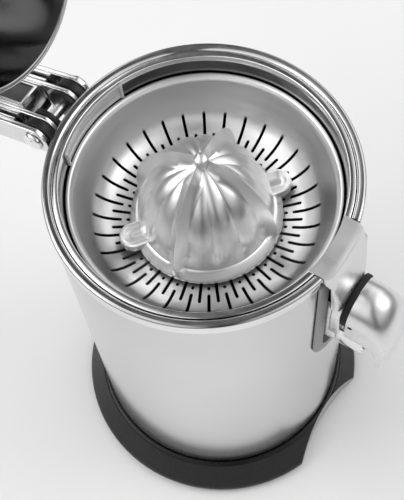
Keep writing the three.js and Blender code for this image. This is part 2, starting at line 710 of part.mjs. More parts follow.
[-14, 14].forEach((x, i) => {
  const wall = Math.sqrt((SHELL_R - SHELL_WALL) ** 2 - x ** 2);
  const screw = rodY(4, wall - 4, wall - 1.4, x, HINGE_Z - 6).add(rodY(1.8, wall - 2, wall + 9, x, HINGE_Z - 6));
  addPiece(`bracket_screw_${i + 1}`, screw, steelPin);
});

addPiece('hinge_pin', rodX(3.8, -CHEEK_OUT, CHEEK_OUT, HINGE_Y, HINGE_Z), steelPin);

// ---- arm: drawn closed, then swung back about the hinge ----
const openArm = new THREE.Group();
openArm.position.set(0, HINGE_Y, HINGE_Z);
openArm.rotation.x = -THREE.MathUtils.degToRad(OPEN_ANGLE);
group.add(openArm);
const arm = new THREE.Group();
arm.position.set(0, -HINGE_Y, -HINGE_Z);
openArm.add(arm);

const COLUMN_HALF = 9;         // half of the arm's depth, front to back
const BEAM_Z = 379;            // middle of the arm's level part
const BEND_R = 34;
const BEAM_FRONT = -62;

function armPath(end) {
  return [
    [HINGE_Y, HINGE_Z], [HINGE_Y, BEAM_Z - BEND_R - 20],
    ...arc(HINGE_Y - BEND_R, BEAM_Z - BEND_R, BEND_R, 0, 90, 6), [end, BEAM_Z],
  ];
}

// A plate of the arm: round about the hinge, up the column and along the beam.
function armPlate(low, high, depth, end) {
  const strip = plateX(ribbon(armPath(end), depth, COLUMN_HALF), low, high);
  return strip.add(rodX(KNUCKLE_R, low, high, HINGE_Y, HINGE_Z));
}

function pressArm() {
  let shape = armPlate(CHEEK_IN, CHEEK_OUT, COLUMN_HALF, BEAM_FRONT);
  shape = shape.add(armPlate(-CHEEK_OUT, -CHEEK_IN, COLUMN_HALF, BEAM_FRONT));
  shape = shape.add(armPlate(RIB_IN, RIB_OUT, COLUMN_HALF, 20));
  shape = shape.add(armPlate(-RIB_OUT, -RIB_IN, COLUMN_HALF, 20));
  const backPath = armPath(BEAM_FRONT).slice(1);
  backPath[0] = [HINGE_Y, HINGE_Z + 16];
  shape = shape.add(plateX(ribbon(backPath, COLUMN_HALF, -5), -CHEEK_OUT + 1, CHEEK_OUT - 1));
  const frontBlock = box([-CHEEK_OUT, BEAM_FRONT, BEAM_Z - COLUMN_HALF], [CHEEK_OUT, -24, BEAM_Z + COLUMN_HALF]);
  const lugs = [[6.8, 11], [-11, -6.8]].map(([low, high]) => plateX([
    [-8, BEAM_Z + 7], ...arc(0, DOME_PIVOT_Z, 7, 180, 360, 6), [8, BEAM_Z + 7],
  ], low, high));
  return shape.add(frontBlock).add(lugs[0]).add(lugs[1])
    .subtract(rodX(3.1, -12, 12, 0, DOME_PIVOT_Z))
    .subtract(rodX(4.2, -40, 40, HINGE_Y, HINGE_Z));
}

function armCore() {
  const low = HINGE_Z + 17;
  const high = BEAM_Z - BEND_R - 2;
  const face = HINGE_Y - COLUMN_HALF;
  return box([-CORE_HALF, face, low], [CORE_HALF, HINGE_Y + 4, high])
    .subtract(box([-CORE_HALF + 1.4, face - 1, low + 3], [CORE_HALF - 1.4, face + 3, high - 3]));
}

addPiece('press_arm', pressArm(), castMetal, arm);
addPiece('arm_inlay', armCore(), greyPlastic, arm);

[-1, 1].forEach((side) => {
  const low = CHEEK_OUT + GAP;
  const cap = revolve([[0, low], [6.5, low], [6, low + 2], [3.5, low + 3], [0, low + 3]], 24);
  const turned = cap.rotate([0, 90 * side, 0]).translate([0, HINGE_Y, HINGE_Z]);
  addPiece(side < 0 ? 'hinge_cap_left' : 'hinge_cap_right', turned, castMetal, arm);
});

function handleGrip() {
  const front = -126;
  const side = [
    [BEAM_FRONT - GAP, BEAM_Z - 8.6], [BEAM_FRONT - GAP, BEAM_Z + 8.6], [-92, BEAM_Z + 7],
    ...arc(front + 8, BEAM_Z - 7, 7.5, 95, 270, 8), [-96, BEAM_Z - 12.5],
  ];
  const plan = [
    [-22, BEAM_FRONT], [22, BEAM_FRONT], ...arc(12, front + 10, 10, 0, -90, 5),
    ...arc(-12, front + 10, 10, -90, -180, 5),
  ];
  return plateX(side, -30, 30).intersect(slab(plan, BEAM_Z - 40, BEAM_Z + 40));
}
addPiece('handle_grip', handleGrip(), rubber, arm);

// ---- dome ----
function domeProfile(radius, depth) {
  const points = [];
  const steps = 6;
  for (let i = 0; i <= steps; i += 1) {
    const a = (i / steps) * (Math.PI / 2);
    points.push([i === steps ? 0 : radius * Math.cos(a) ** 0.85, DOME_RIM_Z + depth * Math.sin(a)]);
  }
  return points;
}

function domeShell() {
  const outer = domeProfile(DOME_R - 1.2, DOME_DEPTH);
  const inner = domeProfile(DOME_R - 1.2 - DOME_WALL, DOME_DEPTH - DOME_WALL).reverse();
  return revolve([...outer, ...inner], 32)
    .add(ring(DOME_R - 1.3 - DOME_WALL, DOME_R, DOME_RIM_Z, DOME_RIM_Z + 4, 32));
}

function domeHub() {
  const foot = DOME_RIM_Z + DOME_DEPTH + GAP;
  return disc(15, foot, foot + 3.4, 24)
    .add(plateX([[-9, foot + 1], [9, foot + 1], ...arc(0, DOME_PIVOT_Z, 5.4, 0, 180, 8)], -6.2, 6.2))
    .subtract(rodX(3.1, -12, 12, 0, DOME_PIVOT_Z));
}

addPiece('dome_shell', domeShell(), polishedSteel, arm);
addPiece('dome_hub', domeHub(), blackPlastic, arm);
addPiece('dome_pin', rodX(2.8, -11.6, 11.6, 0, DOME_PIVOT_Z), steelPin, arm);

export default group;
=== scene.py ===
import json
import math

import bmesh
import bpy
import numpy as np
from mathutils import Matrix, Vector


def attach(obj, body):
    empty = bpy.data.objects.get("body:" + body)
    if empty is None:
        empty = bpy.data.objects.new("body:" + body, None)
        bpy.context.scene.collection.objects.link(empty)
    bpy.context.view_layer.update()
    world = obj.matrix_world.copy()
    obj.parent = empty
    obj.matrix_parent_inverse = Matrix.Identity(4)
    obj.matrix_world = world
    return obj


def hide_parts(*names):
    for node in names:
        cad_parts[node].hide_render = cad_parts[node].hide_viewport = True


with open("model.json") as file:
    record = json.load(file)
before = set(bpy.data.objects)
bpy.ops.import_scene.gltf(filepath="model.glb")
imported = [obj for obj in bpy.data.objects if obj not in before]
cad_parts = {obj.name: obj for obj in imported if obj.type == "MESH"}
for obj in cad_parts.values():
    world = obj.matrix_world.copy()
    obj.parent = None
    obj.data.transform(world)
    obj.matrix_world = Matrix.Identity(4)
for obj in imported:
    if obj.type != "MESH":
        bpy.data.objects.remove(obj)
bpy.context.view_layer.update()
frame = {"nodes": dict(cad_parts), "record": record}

# A lever citrus press. Shapes are drawn in millimetres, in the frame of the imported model:
# +Z up on the drum's axis, the spout towards -Y and the arm's hinge towards +Y.
MM = 0.001
RIM_TOP = 300.0
RIM_FOOT = 291.0
RIM_R = 90.0
RIM_INNER_R = 84.6
SHELL_R = 89.0
SHELL_INNER_R = 87.8
SHELL_LOW = 20.35
SHELL_TOP = 290.65
SPOUT_GAP = 20.0
SLOT_HALF = 14.5
SLOT_ROUND_Z = 200.0
HINGE_Y = 104.0
HINGE_Z = 282.0
OPEN_ANGLE = 108.0
BEAM_Z = 379.0
BEND_R = 34.0
BEAM_FRONT = -62.0
COLUMN_HALF = 9.0
DOME_PIVOT_Z = 364.0
DOME_RIM_Z = 270.0
FIN_ANGLE = 9.0
EAR_ANGLES = (-36.0, 144.0)
CONE_BASE = 254.0
HUB_Z = 248.0
TROUGH_R = 13.3
TROUGH_Z = 211.0
TROUGH_EDGE_Z = 228.0
NOSE_HALF = 16.0
NOSE_TOP = 264.0

ABOUT_HINGE = Matrix.Translation((0, HINGE_Y * MM, HINGE_Z * MM))
OPEN_ARM = ABOUT_HINGE @ Matrix.Rotation(math.radians(-OPEN_ANGLE), 4, "X") @ ABOUT_HINGE.inverted()


# ---- materials ----
class Nodes:
    """A material's node tree, with short calls to add and join nodes."""

    def __init__(self, name):
        self.material = bpy.data.materials.new(name)
        self.material.use_nodes = True
        self.tree = self.material.node_tree
        self.shader = self.tree.nodes["Principled BSDF"]
        self.place = self.add("ShaderNodeTexCoord").outputs["Object"]

    def add(self, kind, **settings):
        node = self.tree.nodes.new(kind)
        for key, value in settings.items():
            if key in node.inputs:
                node.inputs[key].default_value = value
            else:
                setattr(node, key, value)
        return node

    def join(self, output, socket):
        self.tree.links.new(output, socket)

    def noise(self, stretch, scale, detail=3.0, rough=0.5):
        mapping = self.add("ShaderNodeMapping")
        mapping.inputs["Scale"].default_value = stretch
        self.join(self.place, mapping.inputs["Vector"])
        node = self.add("ShaderNodeTexNoise", Scale=scale, Detail=detail, Roughness=rough)
        self.join(mapping.outputs["Vector"], node.inputs["Vector"])
        return node.outputs["Fac"]

    def spread(self, value, low, high, start=0.3, end=0.7):
        node = self.add("ShaderNodeMapRange")
        node.inputs["From Min"].default_value = start
        node.inputs["From Max"].default_value = end
        node.inputs["To Min"].default_value = low
        node.inputs["To Max"].default_value = high
        self.join(value, node.inputs["Value"])
        return node.outputs["Result"]

    def blend(self, value, first, second, start=0.3, end=0.7):
        ramp = self.add("ShaderNodeValToRGB")
        ramp.color_ramp.elements[0].position = start
        ramp.color_ramp.elements[1].position = end
        ramp.color_ramp.elements[0].color = (*first, 1)
        ramp.color_ramp.elements[1].color = (*second, 1)
        self.join(value, ramp.inputs["Fac"])
        return ramp.outputs["Color"]

    def bump(self, value, strength, depth):
        node = self.add("ShaderNodeBump", Strength=strength, Distance=depth)
        self.join(value, node.inputs["Height"])
        self.join(node.outputs["Normal"], self.shader.inputs["Normal"])


def metal(name, light, dark, rough, stretch, grain, bump, patch=9.0):
    n = Nodes(name)
    n.shader.inputs["Metallic"].default_value = 1.0
    fine = n.noise(stretch, grain, 2.0)
    broad = n.noise((1, 1, 1), patch, 2.0)
    n.join(n.blend(broad, dark, light), n.shader.inputs["Base Color"])
    n.join(n.spread(fine, rough[0], rough[1]), n.shader.inputs["Roughness"])
    if bump:
        n.bump(fine, bump, 0.00004)
    return n


def plastic(name, light, dark, rough, grain, bump, patch=25.0):
    n = Nodes(name)
    fine = n.noise((1, 1, 1), grain, 3.0)
    broad = n.noise((1, 1, 1), patch, 3.0)
    n.join(n.blend(broad, dark, light), n.shader.inputs["Base Color"])
    n.join(n.spread(fine, rough[0], rough[1]), n.shader.inputs["Roughness"])
    n.shader.inputs["Specular IOR Level"].default_value = 0.3
    n.bump(fine, bump, 0.00006)
    return n


def grey(value):
    return (value, value, value)


def brushed_drum():
    n = metal("brushed_drum", grey(0.68), grey(0.62), (0.13, 0.17), (1.5, 1.5, 260), 22.0, 0.05)
    n.shader.inputs["Anisotropic"].default_value = 0.5
    n.shader.inputs["Anisotropic Rotation"].default_value = 0.25
    tangent = n.add("ShaderNodeTangent", direction_type="RADIAL", axis="Z")
    n.join(tangent.outputs["Tangent"], n.shader.inputs["Tangent"])
    return n.material


def clear_plastic():
    n = Nodes("clear_window")
    n.shader.inputs["Transmission Weight"].default_value = 0.6
    n.shader.inputs["IOR"].default_value = 1.46
    n.join(n.blend(n.noise((1, 1, 1), 40.0), grey(0.95), grey(1.0)), n.shader.inputs["Base Color"])
    n.join(n.spread(n.noise((1, 1, 1), 180.0), 0.1, 0.2), n.shader.inputs["Roughness"])
    return n.material


MATERIALS = {
    "drum": brushed_drum(),
    "polished": metal("polished_steel", grey(0.84), grey(0.78), (0.08, 0.16), (1, 1, 1), 160.0, 0.0).material,
    # rim: a darker, slightly rougher copy of the polished steel for the rim's top face; its grey is a painted
    # dark reflection
    "rim": metal("rim_top_painted_dark_reflection", grey(0.6), grey(0.5), (0.12, 0.2), (1, 1, 12), 90.0, 0.02).material,
    # well: a darker copy of the polished steel, painted shade for the deep collector well
    "well": metal("well_steel_painted_shade", grey(0.24), grey(0.15), (0.14, 0.24), (1, 1, 14), 60.0, 0.03).material,
    "satin": metal("satin_dish", grey(0.72), grey(0.62), (0.31, 0.36), (1, 1, 5), 60.0, 0.0).material,
    "cast": metal("polished_casting", grey(0.9), grey(0.82), (0.09, 0.17), (1, 1, 1), 70.0, 0.03).material,
    "cone": metal("cone_casting", grey(0.88), grey(0.8), (0.3, 0.36), (1, 1, 1), 70.0, 0.0).material,
    "spout": metal("spout_steel", grey(0.76), grey(0.7), (0.26, 0.34), (1, 1, 1), 70.0, 0.02).material,
    "arm": metal("arm_casting", grey(0.82), grey(0.72), (0.16, 0.28), (1, 1, 1), 220.0, 0.05).material,
    # dome: a darker copy of the polished steel, a painted dark reflection on the dome
    "dome": metal("dome_steel_painted_dark_reflection", grey(0.42), grey(0.32), (0.07, 0.14), (1, 1, 1), 50.0, 0.0).material,
    "pin": metal("pin_steel", grey(0.68), grey(0.58), (0.22, 0.36), (1, 1, 1), 240.0, 0.06).material,
    "copper": metal("winding_copper", (0.62, 0.33, 0.16), (0.5, 0.25, 0.12), (0.3, 0.45), (1, 1, 240), 9.0,
                    0.5).material,
    "base": plastic("base_plastic", grey(0.007), grey(0.004), (0.24, 0.34), 900.0, 0.12).material,
    "black": plastic("black_plastic", grey(0.02), grey(0.012), (0.32, 0.46), 700.0, 0.15).material,
    "rubber": plastic("rubber", grey(0.02), grey(0.012), (0.62, 0.78), 800.0, 0.3).material,
    "grey": plastic("grey_plastic", grey(0.32), grey(0.27), (0.3, 0.42), 700.0, 0.12).material,
    "inlay": plastic("inlay_plastic", grey(0.08), grey(0.05), (0.3, 0.42), 700.0, 0.12).material,
    "nylon": plastic("white_nylon", (0.8, 0.79, 0.75), (0.72, 0.71, 0.67), (0.4, 0.55), 500.0, 0.1).material,
    # cut: light grey on one face of the black base, painted light on the face that catches the light
    "cut": plastic("base_cut_face_painted_light", grey(0.36), grey(0.3), (0.3, 0.42), 700.0, 0.1).material,
    "clear": clear_plastic(),
}
SLOT_LOOKS = {
    "brushed_steel": "satin", "polished_steel": "polished", "cast_metal": "cast", "pin_steel": "pin",
    "black_plastic": "black", "black_rubber": "rubber", "grey_plastic": "grey", "white_nylon": "nylon",
    "clear_plastic": "clear", "copper": "copper",
}


def dress_cad_nodes():
    for row in frame["record"]["subparts"]:
        node = frame["nodes"].get(row["node"])
        if node is None:
            continue
        look = MATERIALS[SLOT_LOOKS[row["material_slot"]]]
        node.data.materials.clear()
        node.data.materials.append(look)


# ---- mesh tools ----
def mesh_of(name, corners, faces):
    mesh = bpy.data.meshes.new(name)
    mesh.from_pydata([tuple(float(c) * MM for c in p) for p in corners], [], faces)
    mesh.validate()
    return mesh


def tidy_mesh(mesh, merge=0.002):
    bm = bmesh.new()
    bm.from_mesh(mesh)
    bmesh.ops.remove_doubles(bm, verts=bm.verts, dist=merge * MM)
    bmesh.ops.recalc_face_normals(bm, faces=bm.faces)
    bm.to_mesh(mesh)
    bm.free()


def plain_object(name, mesh):
    made = bpy.data.objects.new(name, mesh)
    bpy.context.scene.collection.objects.link(made)
    return made


def baked(made):
    """The object's mesh with its modifiers applied."""
    depsgraph = bpy.context.evaluated_depsgraph_get()
    mesh = bpy.data.meshes.new_from_object(made.evaluated_get(depsgraph))
    made.modifiers.clear()
    old = made.data
    made.data = mesh
    bpy.data.meshes.remove(old)
    return made


def joined(name, parts):
    """Several objects as one."""
    bm = bmesh.new()
    for part in parts:
        bm.from_mesh(part.data)
        bpy.data.objects.remove(part)
    mesh = bpy.data.meshes.new(name)
    bm.to_mesh(mesh)
    bm.free()
    return plain_object(name, mesh)


def cut(made, cutter, keep=False):
    modifier = made.modifiers.new("cut", "BOOLEAN")
    modifier.operation = "DIFFERENCE"
    modifier.solver = "EXACT"
    modifier.object = cutter
    bpy.context.view_layer.update()
    baked(made)
    if not keep:
        bpy.data.objects.remove(cutter)
    return made


def bevelled(made, width, segments=3, angle=30.0):
    modifier = made.modifiers.new("bevel", "BEVEL")
    modifier.width = width * MM
    modifier.segments = segments
    modifier.limit_method = "ANGLE"
    modifier.angle_limit = math.radians(angle)
    modifier.harden_normals = False
    bpy.context.view_layer.update()
    return baked(made)


def finish_piece(made, look, body, nodes, angle=32.0, move=None):
    """Gives a piece its place, shading, material and body, and hides the CAD nodes that it stands for."""
    if move is not None:
        made.data.transform(move)
    made.data.shade_smooth()
    made.data.set_sharp_from_angle(angle=math.radians(angle))
    looks = look if isinstance(look, (list, tuple)) else [look]
    made.data.materials.clear()
    for one in looks:
        made.data.materials.append(MATERIALS[one])
    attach(made, body)
    if nodes:
        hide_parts(*nodes)
    return made


def lathe(name, outline, steps=192):
    """A closed outline of [radius, height] points turned about the Z axis."""
    count = len(outline)
    corners = []
    for i in range(steps):
        a = 2 * math.pi * i / steps
        corners += [(r * math.cos(a), r * math.sin(a), z) for r, z in outline]
    faces = []
    for i in range(steps):
        for j in range(count):
            k = (j + 1) % count
            here, there = i * count, ((i + 1) % steps) * count
            faces.append((here + j, there + j, there + k, here + k))
    mesh = mesh_of(name, corners, faces)
    tidy_mesh(mesh)
    return plain_object(name, mesh)


def rounded(outline, radius, steps=4, closed=True):
    """The outline with each corner replaced by a small arc, never longer than half of a side."""
    points = [np.array(p, float) for p in outline]
    count = len(points)
    result = []
    for i, p in enumerate(points):
        if not closed and i in (0, count - 1):
            result.append(tuple(p))
            continue
        before, after = points[i - 1] - p, points[(i + 1) % count] - p
        reach = min(radius, np.linalg.norm(before) * 0.48, np.linalg.norm(after) * 0.48)
        if p[0] < 1e-6 or reach < 1e-4:
            result.append(tuple(p))
            continue
        start = p + before / np.linalg.norm(before) * reach
        end = p + after / np.linalg.norm(after) * reach
        for s in range(steps + 1):
            t = s / steps
            result.append(tuple(start * (1 - t) ** 2 + 2 * p * t * (1 - t) + end * t ** 2))
    return result


def finer(outline, step, closed=True):
    """The outline with points added so that no side is longer than step."""
    points = [np.array(p, float) for p in outline]
    result = []
    count = len(points)
    for i in range(count if closed else count - 1):
        p, q = points[i], points[(i + 1) % count]
        parts = max(1, int(math.ceil(np.linalg.norm(q - p) / step)))
        result += [tuple(p + (q - p) * k / parts) for k in range(parts)]
    if not closed:
        result.append(tuple(points[-1]))
    return result


def prism(name, outline, low, high, axis):
    """A closed outline extruded along an axis: (y, z) along X, (x, z) along Y or (x, y) along Z."""
    count = len(outline)
    spots = {
        "X": lambda p, d: (d, p[0], p[1]),
        "Y": lambda p, d: (p[0], d, p[1]),
        "Z": lambda p, d: (p[0], p[1], d),
    }[axis]
    corners = [spots(p, low) for p in outline] + [spots(p, high) for p in outline]
    faces = [tuple(range(count)), tuple(range(2 * count - 1, count - 1, -1))]
    faces += [(j, (j + 1) % count, count + (j + 1) % count, count + j) for j in range(count)]
    mesh = mesh_of(name, corners, faces)
    tidy_mesh(mesh)
    return plain_object(name, mesh)


def span(side, inner, outer):
    """The two places at these distances on one side of the middle, the lower one first."""
    return sorted((side * inner, side * outer))


def grid(name, rows, wrap=False, close_ends=False):
    """A surface through rows of points, all of one length."""
    rows = np.array(rows, float)
    count, across = rows.shape[:2]
    corners = rows.reshape(-1, 3)
    faces = []
    for i in range(count - 1):
        for j in range(across if wrap else across - 1):
            k = (j + 1) % across
            faces.append((i * across + j, i * across + k, (i + 1) * across + k, (i + 1) * across + j))
    if close_ends:
        faces.append(tuple(range(across))[::-1])
        faces.append(tuple((count - 1) * across + j for j in range(across)))
    mesh = mesh_of(name, corners, faces)
    tidy_mesh(mesh)
    return plain_object(name, mesh)


def arc(x, y, radius, start, end, steps):
    return [
        (x + radius * math.cos(math.radians(start + (end - start) * i / steps)),
         y + radius * math.sin(math.radians(start + (end - start) * i / steps)))
        for i in range(steps + 1)
    ]


def smooth_path(points, samples):
    """A Catmull-Rom curve through the points, evenly sampled in its parameter."""
    p = np.array(points, float)
    p = np.vstack([2 * p[0] - p[1], p, 2 * p[-1] - p[-2]])
    result = []
    spans = len(p) - 3
    for s in np.linspace(0, spans, samples):
        i = min(int(s), spans - 1)
        t = s - i
        a, b, c, d = p[i:i + 4]
        result.append(0.5 * (2 * b + (c - a) * t + (2 * a - 5 * b + 4 * c - d) * t ** 2
                             + (3 * b - a - 3 * c + d) * t ** 3))
    return np.array(result)


def solidified(made, thickness, even=True):
    modifier = made.modifiers.new("wall", "SOLIDIFY")
    modifier.thickness = thickness * MM
    modifier.offset = -1.0
    modifier.use_even_offset = even
    bpy.context.view_layer.update()
    return baked(made)


# ---- drum, rim and base ----
def slot_outline(half, top):
    return [(half, top), (-half, top)] + arc(0, SLOT_ROUND_Z, half, 180, 360, 40)


def body_shell():
    outline = [
        (SHELL_INNER_R, SHELL_LOW), (SHELL_R, SHELL_LOW), (SHELL_R, SHELL_TOP), (SHELL_INNER_R, SHELL_TOP),
    ]
    made = lathe("drum", finer(outline, 9.0), 256)
    made = cut(made, prism("slot_cutter", slot_outline(SLOT_HALF + 3, RIM_TOP + 10), -100, -70, "Y"))
    made = cut(made, prism("inlet_cutter", arc(0, INLET_Z, 6.85, 0, 351, 39), 80, 100, "Y"))
    finish_piece(made, "drum", "root", ["body_shell"])


def rim_ring():
    outline = [
        (86.6, RIM_FOOT), (RIM_R, RIM_FOOT), (RIM_R, 298.6), (89.5, 299.6), (88.4, RIM_TOP), (85.9, 299.7),
        (85.3, 299.2), (RIM_INNER_R, 298.4), (RIM_INNER_R, 293),
    ]
    made = lathe("rim", rounded(outline, 0.8, 4), 256)
    gap = prism("gap_cutter", [(-SPOUT_GAP, 280), (SPOUT_GAP, 280), (SPOUT_GAP, 310), (-SPOUT_GAP, 310)],
                -100, -60, "Y")
    made = cut(made, gap)
    finish_piece(made, ["polished", "rim"], "root", ["rim_ring"], 40)
    # The rim's top face gets the darker rim steel, a painted dark reflection; the rest stays polished steel.
    for face in made.data.polygons:
        x, y, z = face.center / MM
        if z > 298.9 and math.hypot(x, y) > 85.5:
            face.material_index = 1


def on_drum(x, depth):
    return -math.sqrt((SHELL_R + depth) ** 2 - x * x)


def slot_trim():
    """A U of even width bent to the drum, with a lip through the wall."""
    section = rounded([(0, -3.2), (2.6, -3.2), (2.6, 0.35), (7.5, 0.35), (7.5, 1.8), (0, 1.8)], 0.5, 3)
    path = [(-SLOT_HALF, z, -1, 0) for z in np.linspace(SHELL_TOP, SLOT_ROUND_Z, 24)]
    for a in np.linspace(180, 360, 49)[1:]:
        c, s = math.cos(math.radians(a)), math.sin(math.radians(a))
        path.append((SLOT_HALF * c, SLOT_ROUND_Z + SLOT_HALF * s, c, s))
    path += [(SLOT_HALF, z, 1, 0) for z in np.linspace(SLOT_ROUND_Z, SHELL_TOP, 24)[1:]]
    rows = []
    for x, z, nx, nz in path:
        rows.append([(x + nx * w, on_drum(x + nx * w, d), z + nz * w) for w, d in section])
    made = grid("slot_trim", rows, wrap=True, close_ends=True)
    finish_piece(made, "grey", "root", ["spout_slot_trim"], 40)


GLASS_CUT_R = 148.0
GLASS_CUT_Y = -91.5


def base_ring():
    outline = [
        (98.5, 0.8), (104.4, 0.8), (105, 1.6), (105, 4.2), (104.2, 6.4), (93.6, 23.4), (92.6, 25.0),
        (91.2, 25.9), (89.6, 25.9), (89.35, 25.4), (89.35, 20), (80, 20), (80, 3.35), (98.5, 3.35),
    ]
    made = lathe("base", rounded(finer(outline, 6.0), 0.7, 3), 288)
    centre = GLASS_CUT_Y - GLASS_CUT_R
    cutter = prism("glass_cutter", arc(0, centre, GLASS_CUT_R, 30, 150, 160) + [(-200, -260), (200, -260)],
                   -10, 60, "Z")
    made = cut(made, cutter)
    made = bevelled(made, 0.5, 2, 40)
    finish_piece(made, ["base", "cut"], "root", ["base_ring"], 35)
    # The cut's upright faces get the light grey: painted light on the black base.
    for face in made.data.polygons:
        x, y, _ = face.center / MM
        from_cut = abs(math.hypot(x, y - centre) - GLASS_CUT_R)
        if from_cut < 0.25 and abs(face.normal.z) < 0.3:
            face.material_index = 1


FOOT_CIRCLE_R = 78.0
INLET_Z = 42.0


def feet():
    for i, angle in enumerate((45, 135, 225, 315)):
        outline = [(0, -3), (6.2, -3), (6.6, -2.6), (7.4, -2.6), (7.8, -3), (8.2, -2.9), (9.5, 0.2), (0, 0.2)]
        made = lathe(f"rubber_foot_{i + 1}", rounded(outline, 0.3, 3), 48)
        a = math.radians(angle)
        reach = FOOT_CIRCLE_R * MM
        made.data.transform(Matrix.Translation((reach * math.cos(a), reach * math.sin(a), 0)))
        finish_piece(made, "rubber", "root", [f"foot_{i + 1}"])


def cord_gland():
    outline = [
        (3.6, 81), (6.3, 81), (6.5, 81.4), (6.5, 89.4), (9.2, 89.6), (9.5, 90.2), (9.4, 91.6), (8.4, 93),
        (5.2, 93.2), (3.6, 92.2),
    ]
    made = lathe("cord_gland", rounded(outline, 0.4, 3), 64)
    turn = Matrix.Rotation(math.radians(-90), 4, "X")
    finish_piece(made, "rubber", "root", ["cord_inlet_gland"],
                 move=Matrix.Translation((0, 0, INLET_Z * MM)) @ turn)


# ---- juice collector ----
def bowl():
    outline = [
        (80.6, 299.2), (80.1, 295), (79.45, 283.5), (76.2, 282.4), (75.5, 276), (69.2, 208.5), (64, 202.4),
        (17, 204.5), (9.2, 204.5), (9.2, 228), (7.2, 228), (7.2, 199.6), (14.6, 199.6), (14.8, 197.6),
        (64, 199.6), (71, 206), (77.4, 276), (80.6, 281), (82.3, 296), (84.2, 297.6), (84.2, 299.2),
    ]
    made = lathe("collector_bowl", rounded(outline, 0.5, 3), 256)
    opening = [
        (-17.4, 302), (17.4, 302), (17.4, 270), (11.7, 232), (11.7, 205), (0, 199.4), (-11.7, 205),
        (-11.7, 232), (-17.4, 270),
    ]
    made = cut(made, prism("neck_cutter", rounded(opening, 3, 3), -100, -55, "Y"))
    # Below the lip the bowl gets the darker well steel, which is painted shade inside the collector; the lip
    # keeps the polished steel.
    finish_piece(made, ["well", "polished"], "collector", ["juice_collector"], 40)
    for face in made.data.polygons:
        if face.center.z > 296.6 * MM:
            face.material_index = 1


NECK_POWER = 3.4
NECK_ROUND = 0.8
NECK_BACK = -86.0
NECK_FRONT = -99.0
LIP_INNER_R = 80.7
LIP_OUTER_R = 91.0
NECK_LEVELS = [
    # height, half width, back, front
    (299.2, 19.3, None, -91.4), (297.6, 19.35, None, -92.6), (294.0, 19.4, None, -93.6),
    (291.0, 19.2, -92.6, -94.3), (286.0, 18.8, -92.6, -95.3), (280.0, 18.1, -92.6, -96.5),
    (274.0, 17.4, -92.6, -97.6), (268.0, 16.7, -92.6, -98.6), (264.0, 16.2, -92.6, NECK_FRONT),
    (258.0, 16.1, -92.6, NECK_FRONT), (257.8, 13.5, NECK_BACK, NECK_FRONT),
    (240.0, 13.5, NECK_BACK, NECK_FRONT), (222.0, 13.4, NECK_BACK, NECK_FRONT),
    (TROUGH_Z, TROUGH_R, NECK_BACK, NECK_FRONT),
]


def arch(power, count):
    """Pairs across a rounded front: how far sideways and how far forward, each up to one."""
    pairs = []
    for a in np.linspace(-90, 90, count):
        s, c = math.sin(math.radians(a)), math.cos(math.radians(a))
        side = math.copysign(abs(s) ** (2 / power), s)
        pairs.append((side, abs(c) ** (2 / power)))
    return pairs


def neck_cover():
    """The collector's front: flush with the rim above, and narrowing down to the trough."""
    pairs = arch(NECK_POWER, 61)
    rows = []
    for inward in (LIP_INNER_R, 82.5, 85.5, 88.0, RIM_R):
        share = (inward - LIP_INNER_R) / (LIP_OUTER_R - LIP_INNER_R)
        row = []
        for side, ahead in pairs:
            x = 19.3 * side
            circle = -math.sqrt(inward ** 2 - x * x)
            row.append((x, circle, 299.65 - 0.3 * share))
        rows.append(row)
    for height, half, back, front in NECK_LEVELS:
        row = []
        for side, ahead in pairs:
            x = half * side
            edge = -math.sqrt(89.6 ** 2 - x * x) if back is None else back
            row.append((x, edge + (front - edge) * ahead ** NECK_ROUND, height))
        rows.append(row)
    for a in np.linspace(0, 90, 10)[1:]:
        drop = math.sin(math.radians(a))
        close = math.cos(math.radians(a))
        rows.append([
            (TROUGH_R * close * side,
             NECK_BACK + (NECK_FRONT - NECK_BACK) * ahead ** NECK_ROUND,
             TROUGH_Z - TROUGH_R * drop)
            for side, ahead in pairs
        ])
    cover = solidified(grid("neck_cover_skin", rows), 1.0, even=False)
    collar = prism("collar", arch_section(NOSE_HALF + 0.2, 226), NECK_FRONT, -92.6, "Y")
    made = joined("neck_cover", [cover, bevelled(collar, 1.0, 3, 40)])
    finish_piece(made, "spout", "collector", [], 40)


def trough():
    angles = [math.radians(a) for a in np.linspace(180, 360, 41)]
    section = [(TROUGH_R * math.cos(a), TROUGH_Z + TROUGH_R * math.sin(a)) for a in angles]
    section = [(-TROUGH_R, TROUGH_EDGE_Z)] + section + [(TROUGH_R, TROUGH_EDGE_Z)]
    bore = TROUGH_R - 1.5
    inside = [(bore * math.cos(a), TROUGH_Z + bore * math.sin(a)) for a in angles[::-1]]
    inside = [(bore, TROUGH_EDGE_Z)] + inside + [(-bore, TROUGH_EDGE_Z)]
    made = prism("spout_trough", section + inside, -114, -97, "Y")
    made = bevelled(made, 0.35, 2, 50)
    lugs = []
    for side in (-1, 1):
        shape = [(-97.5, 239)] + arc(-105.5, 245, 3.8, 270, 90, 16) + [(-97.5, 251)]
        low, high = span(side, 9, 12)
        lugs.append(bevelled(prism("lug", shape, low, high, "X"), 0.4, 2, 40))
    made = joined("spout_trough", [made] + lugs)
    finish_piece(made, "polished", "collector", [], 40)


def well_window():
    """The clear part of the well's wall at the hinge side, with an upright tab at each end."""
    rows = []
    section = rounded([(78.85, 286.4), (79.25, 286.4), (79.9, 298.1), (78.85, 298.1)], 0.15, 2)
    for a in np.linspace(69.5, 110.5, 61):
        c, s = math.cos(math.radians(a)), math.sin(math.radians(a))
        rows.append([(r * c, r * s, z) for r, z in section])
    parts = [grid("window", rows, wrap=True, close_ends=True)]
    for a in (70.2, 109.8):
        tab = prism("tab", rounded([(-0.9, 286.4), (0.9, 286.4), (0.9, 298.6), (-0.9, 298.6)], 0.5, 3),
                    -79.6, -77.9, "Y")
        tab.data.transform(Matrix.Rotation(math.radians(a + 90), 4, "Z"))
        parts.append(bevelled(tab, 0.25, 2, 40))
    made = joined("clear_window", parts)
    finish_piece(made, "clear", "collector", ["well_window"], 40)


